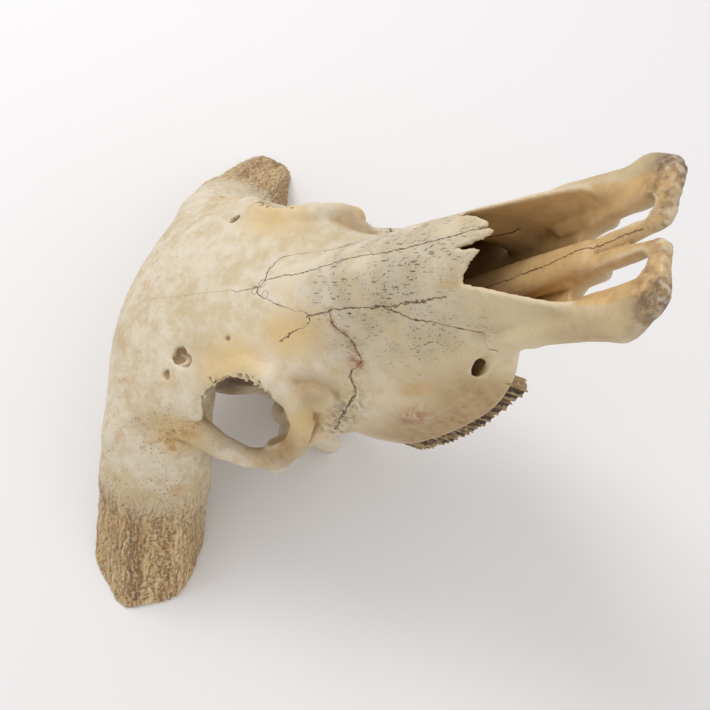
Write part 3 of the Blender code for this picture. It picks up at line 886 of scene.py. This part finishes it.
# %% Seams
shaken = wiggle(wiggle(place, 2.6, 1.0), 8.0, 1.3)
sx, sy, sz = split(shaken)
on_top = rise(sz, 84.0, 92.0)
mid = low(off_line(sx, sy, MIDLINE) + rise(sx, 216.0, 190.0) * 0.35, off_line(sx, sy, BETWEEN_NOSE_BONES))
lines = seam(low(mid, off_line(sy, sx, BEHIND_NOSE_BONES, 0.8)), 0.55)
lines = high(lines, seam(off_line(sx, abs(sy), BESIDE_NOSE_BONE), 0.6)) * on_top
tear = off_line(abs(sy), sx, TEAR_SEAM, 0.75)
off_rim = rise(z, 68.0, 76.0) * (1.0 - rise(side, 64.0, 71.0) * rise(z, 92.0, 98.0))
lines = high(lines, seam(tear, 0.8) * off_rim)
lines = high(lines, seam(off_line(sx, sz, SNOUT_SEAM, 0.7), 0.8))
lines = high(lines, seam(off_line(sx, sy, FLOOR_SEAM), 0.6) * rise(sz, 84.0, 76.0) * rise(sz, 30.0, 34.0))
for centre in ((219, -2, 167), (214, -7, 169), (223, -11, 164)):
    loop = abs(length(arrow("SUBTRACT", shaken, centre)) - 3.0)
    lines = high(lines, seam(loop, 0.5) * 0.6)
blots = noise(place, 5.0, 4.0, 0.75)
soot = rise(tear, 13.0, 1.0) * rise(side, 54.0, 72.0) * rise(blots, -0.15, 0.25) * off_rim
rust = rise(tear, 6.0, 0.5) * rise(blots, -0.2, 0.4) * rise(side, 62.0, 40.0) * off_rim
rust = high(rust, near_spot(folded, (276, 78, 54), (30, 16, 12)) * rise(blots, -0.3, 0.15))
rust = high(rust, near_spot(folded, (262, 49, 98), (12, 9, 12)) * rise(blots, -0.3, 0.1))
colour = mix(rust * 0.8, colour, RUST)
colour = mix(soot * 0.6, colour, SOOT)
colour = mix(lines * (0.6 + rise(blots, -0.3, 0.3) * 0.35), colour, SEAM)

# %% Scorched snout, painted shade in the eye sockets and pits, pale worn edges
burn = rise(x, 466.0, 486.0) * rise(noise(place, 8.0, 4.0, 0.65) + rise(side, 20.0, 48.0) * 0.4, -0.3, 0.5)
colour = mix(burn * 0.85, colour, mix(rise(fine, -0.3, 0.4), CHAR, SCORCH))
# Painted shade: the inside of each eye socket and the hollow behind it are darkened to a deep brown.
cave_shade = rise(ball(folded, (158, 70, 128), (40, 24, 30)), 6.0, -4.0) * 0.5
cave_shade = high(cave_shade, near_spot(folded, (84, 38, 126), (60, 14, 32)))
colour = mix(cave_shade, colour, mix(rise(mottle, -0.3, 0.3), CAVE_SHADE_DARK, CAVE_SHADE_TAN))
# Painted shade: small pits and creases are darkened.
colour = mix(rise(small, 0.08, 0.5) * 0.6, colour, PIT_SHADE)
colour = mix(rise(small, -0.1, -0.6) * 0.35, colour, EDGE)
colour = mix(rise(fine, 0.05, 0.7) * 0.3, colour, GRAIN)

# %% Plug colour, roughness and bump into the shader
grain = noise(squeeze(place, (0.94, 0.0, -0.3), 2.5), 1.0, 3.0, 0.6)
furrow_fine = high(0.5 - abs(noise(drawn, 1.8, 3.0, 0.6)) * 2.0, 0.0)
height = fine * 0.05 + grain * 0.04 + mottle * 0.10
height = height - pores * 0.35 - dashes * 0.12 - lines * 0.45 - core * furrow_fine * 0.7
bump = node("ShaderNodeBump", None, {"Height": height, "Strength": 0.8, "Distance": MM})
plug(shader.inputs["Base Color"], colour)
plug(shader.inputs["Roughness"], 0.58 + core * 0.16 + pores * 0.15 - yellow * 0.08 + mottle * 0.06)
plug(shader.inputs["Normal"], bump)
print("bone material:", len(bone.node_tree.nodes), "nodes")

# %% [markdown]
# ## Teeth, as a finish
# Enamel is a little glossier than bone. Its pillars are pale where food polished them, and black or brown
# tartar fills the grooves between. The carving tree left the pillars' number on every point, so the
# material knows what is groove and what is pillar, and needs no picture.

# %% Paint the teeth
ENAMEL_TAN, ENAMEL_PALE, DENTINE = tone(146, 114, 74), tone(182, 156, 112), tone(120, 84, 50)
TARTAR_BLACK, TARTAR_BROWN = tone(34, 26, 20), tone(92, 62, 38)
shader = open_material(tooth)
place = skull_place()
pillar, up, ridge = attribute("crown")
small, _, _ = attribute("hollow")
mottle = noise(place, 3.0, 4.0, 0.65)
colour = mix(rise(mottle, -0.5, 0.6), ENAMEL_TAN, ENAMEL_PALE)
patchy = noise(place, 9.0, 2.0)
tartar = rise(pillar + mottle * 0.9 + patchy * 1.4, 0.95, 0.3)
tartar = tartar * rise(up + mottle * 6.0, 26.0, 20.0) * rise(up + mottle * 3.0, 1.5, 4.0)
colour = mix(tartar * 0.9, colour, mix(rise(mottle, -0.2, 0.4), TARTAR_BLACK, TARTAR_BROWN))
worn = rise(up, 5.0, 2.5) * rise(ridge, 0.7, 0.2)
colour = mix(worn * 0.6, colour, DENTINE)
# Painted shade: the tooth's small hollows and creases are darkened.
colour = mix(rise(small, 0.05, 0.3) * 0.6, colour, tone(70, 48, 32))
height = mottle * 0.10 + noise(squeeze(place, (0, 0, 1), 5.0), 0.7, 2.0) * 0.05 + tartar * 0.15
plug(shader.inputs["Base Color"], colour)
plug(shader.inputs["Roughness"], 0.34 + tartar * 0.35 + mottle * 0.08)
bump = node("ShaderNodeBump", None, {"Height": height, "Strength": 0.7, "Distance": MM})
plug(shader.inputs["Normal"], bump)
print("tooth material:", len(tooth.node_tree.nodes), "nodes")

# %% [markdown]
# ## Table, light and camera
# The photograph looks steeply down on a pale table under soft light from above. A single sun would throw
# hard shadows, so there is one broad lamp, one weak one from the other side and a bright, even sky. The
# camera stands where the photographer stood, which was worked out from points that can be found both in
# the picture and on a skull.

# %% The pale table
floor_mesh = bpy.data.meshes.new("table")
sculpt = bmesh.new()
bmesh.ops.create_grid(sculpt, x_segments=8, y_segments=8, size=4.0)
sculpt.to_mesh(floor_mesh)
sculpt.free()
table_top = bpy.data.objects.new("table", floor_mesh)
bpy.context.scene.collection.objects.link(table_top)
paint = bpy.data.materials.new("table")
shader = open_material(paint)
shader.inputs["Base Color"].default_value = tone(236, 234, 234)
shader.inputs["Roughness"].default_value = 0.9
floor_mesh.materials.append(paint)

# %% Light
world = bpy.data.worlds.new("sky")
bpy.context.scene.world = world
world.use_nodes = True
sky = world.node_tree.nodes["Background"]
sky.inputs["Color"].default_value = (1.0, 1.0, 1.0, 1.0)
sky.inputs["Strength"].default_value = 0.75


def lamp(name, place, aim, size, power):
    data = bpy.data.lights.new(name, "AREA")
    data.size = size
    data.energy = power
    obj = bpy.data.objects.new(name, data)
    obj.location = place
    obj.rotation_euler = (Vector(aim) - Vector(place)).to_track_quat("-Z", "Y").to_euler()
    bpy.context.scene.collection.objects.link(obj)


AIM = (0.0, 0.0, 0.15)
lamp("window", (-0.9, 0.9, 1.8), AIM, 0.9, 17.0)
lamp("fill", (1.4, -1.0, 1.6), AIM, 1.6, 4.5)

# %% Camera
view = bpy.data.cameras.new("photo")
view.sensor_width = 36.0
view.lens = 50.656
camera = bpy.data.objects.new("photo", view)
camera.location = (0.07148, -0.40981, 0.84882)
camera.rotation_euler = [math.radians(a) for a in (27.3405, 0.2594, 8.9610)]
bpy.context.scene.collection.objects.link(camera)
bpy.context.scene.camera = camera
bpy.context.scene.view_settings.view_transform = "Standard"
print("camera above the table, mm:", round(camera.location.z / MM))
